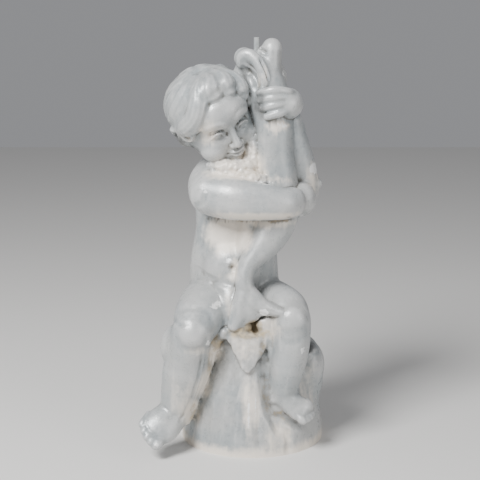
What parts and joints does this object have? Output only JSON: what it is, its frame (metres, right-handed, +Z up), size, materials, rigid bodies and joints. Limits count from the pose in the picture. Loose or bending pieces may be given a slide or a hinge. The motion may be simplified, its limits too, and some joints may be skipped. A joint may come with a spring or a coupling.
{
  "type": "garden fountain statue",
  "caption": "Lead fountain figure of a seated child hugging an upright dolphin on a round rocky mound, with a water pipe in the dolphin's open mouth.",
  "frame": {"origin": "centre of the mound's round base, on the ground plane", "axes": "+Z up, -Y towards the viewer in front of the figure, +X to the viewer's right, which is the figure's left"},
  "size_m": [0.283, 0.2395, 0.62],
  "materials": {
    "lead": "weathered lead, pale grey with oxide bloom and dirt in the hollows",
    "pipe": "dull lead pipe"
  },
  "bodies": {
    "root": {"statue": "lead", "spout_pipe": "pipe"}
  },
  "joints": []
}
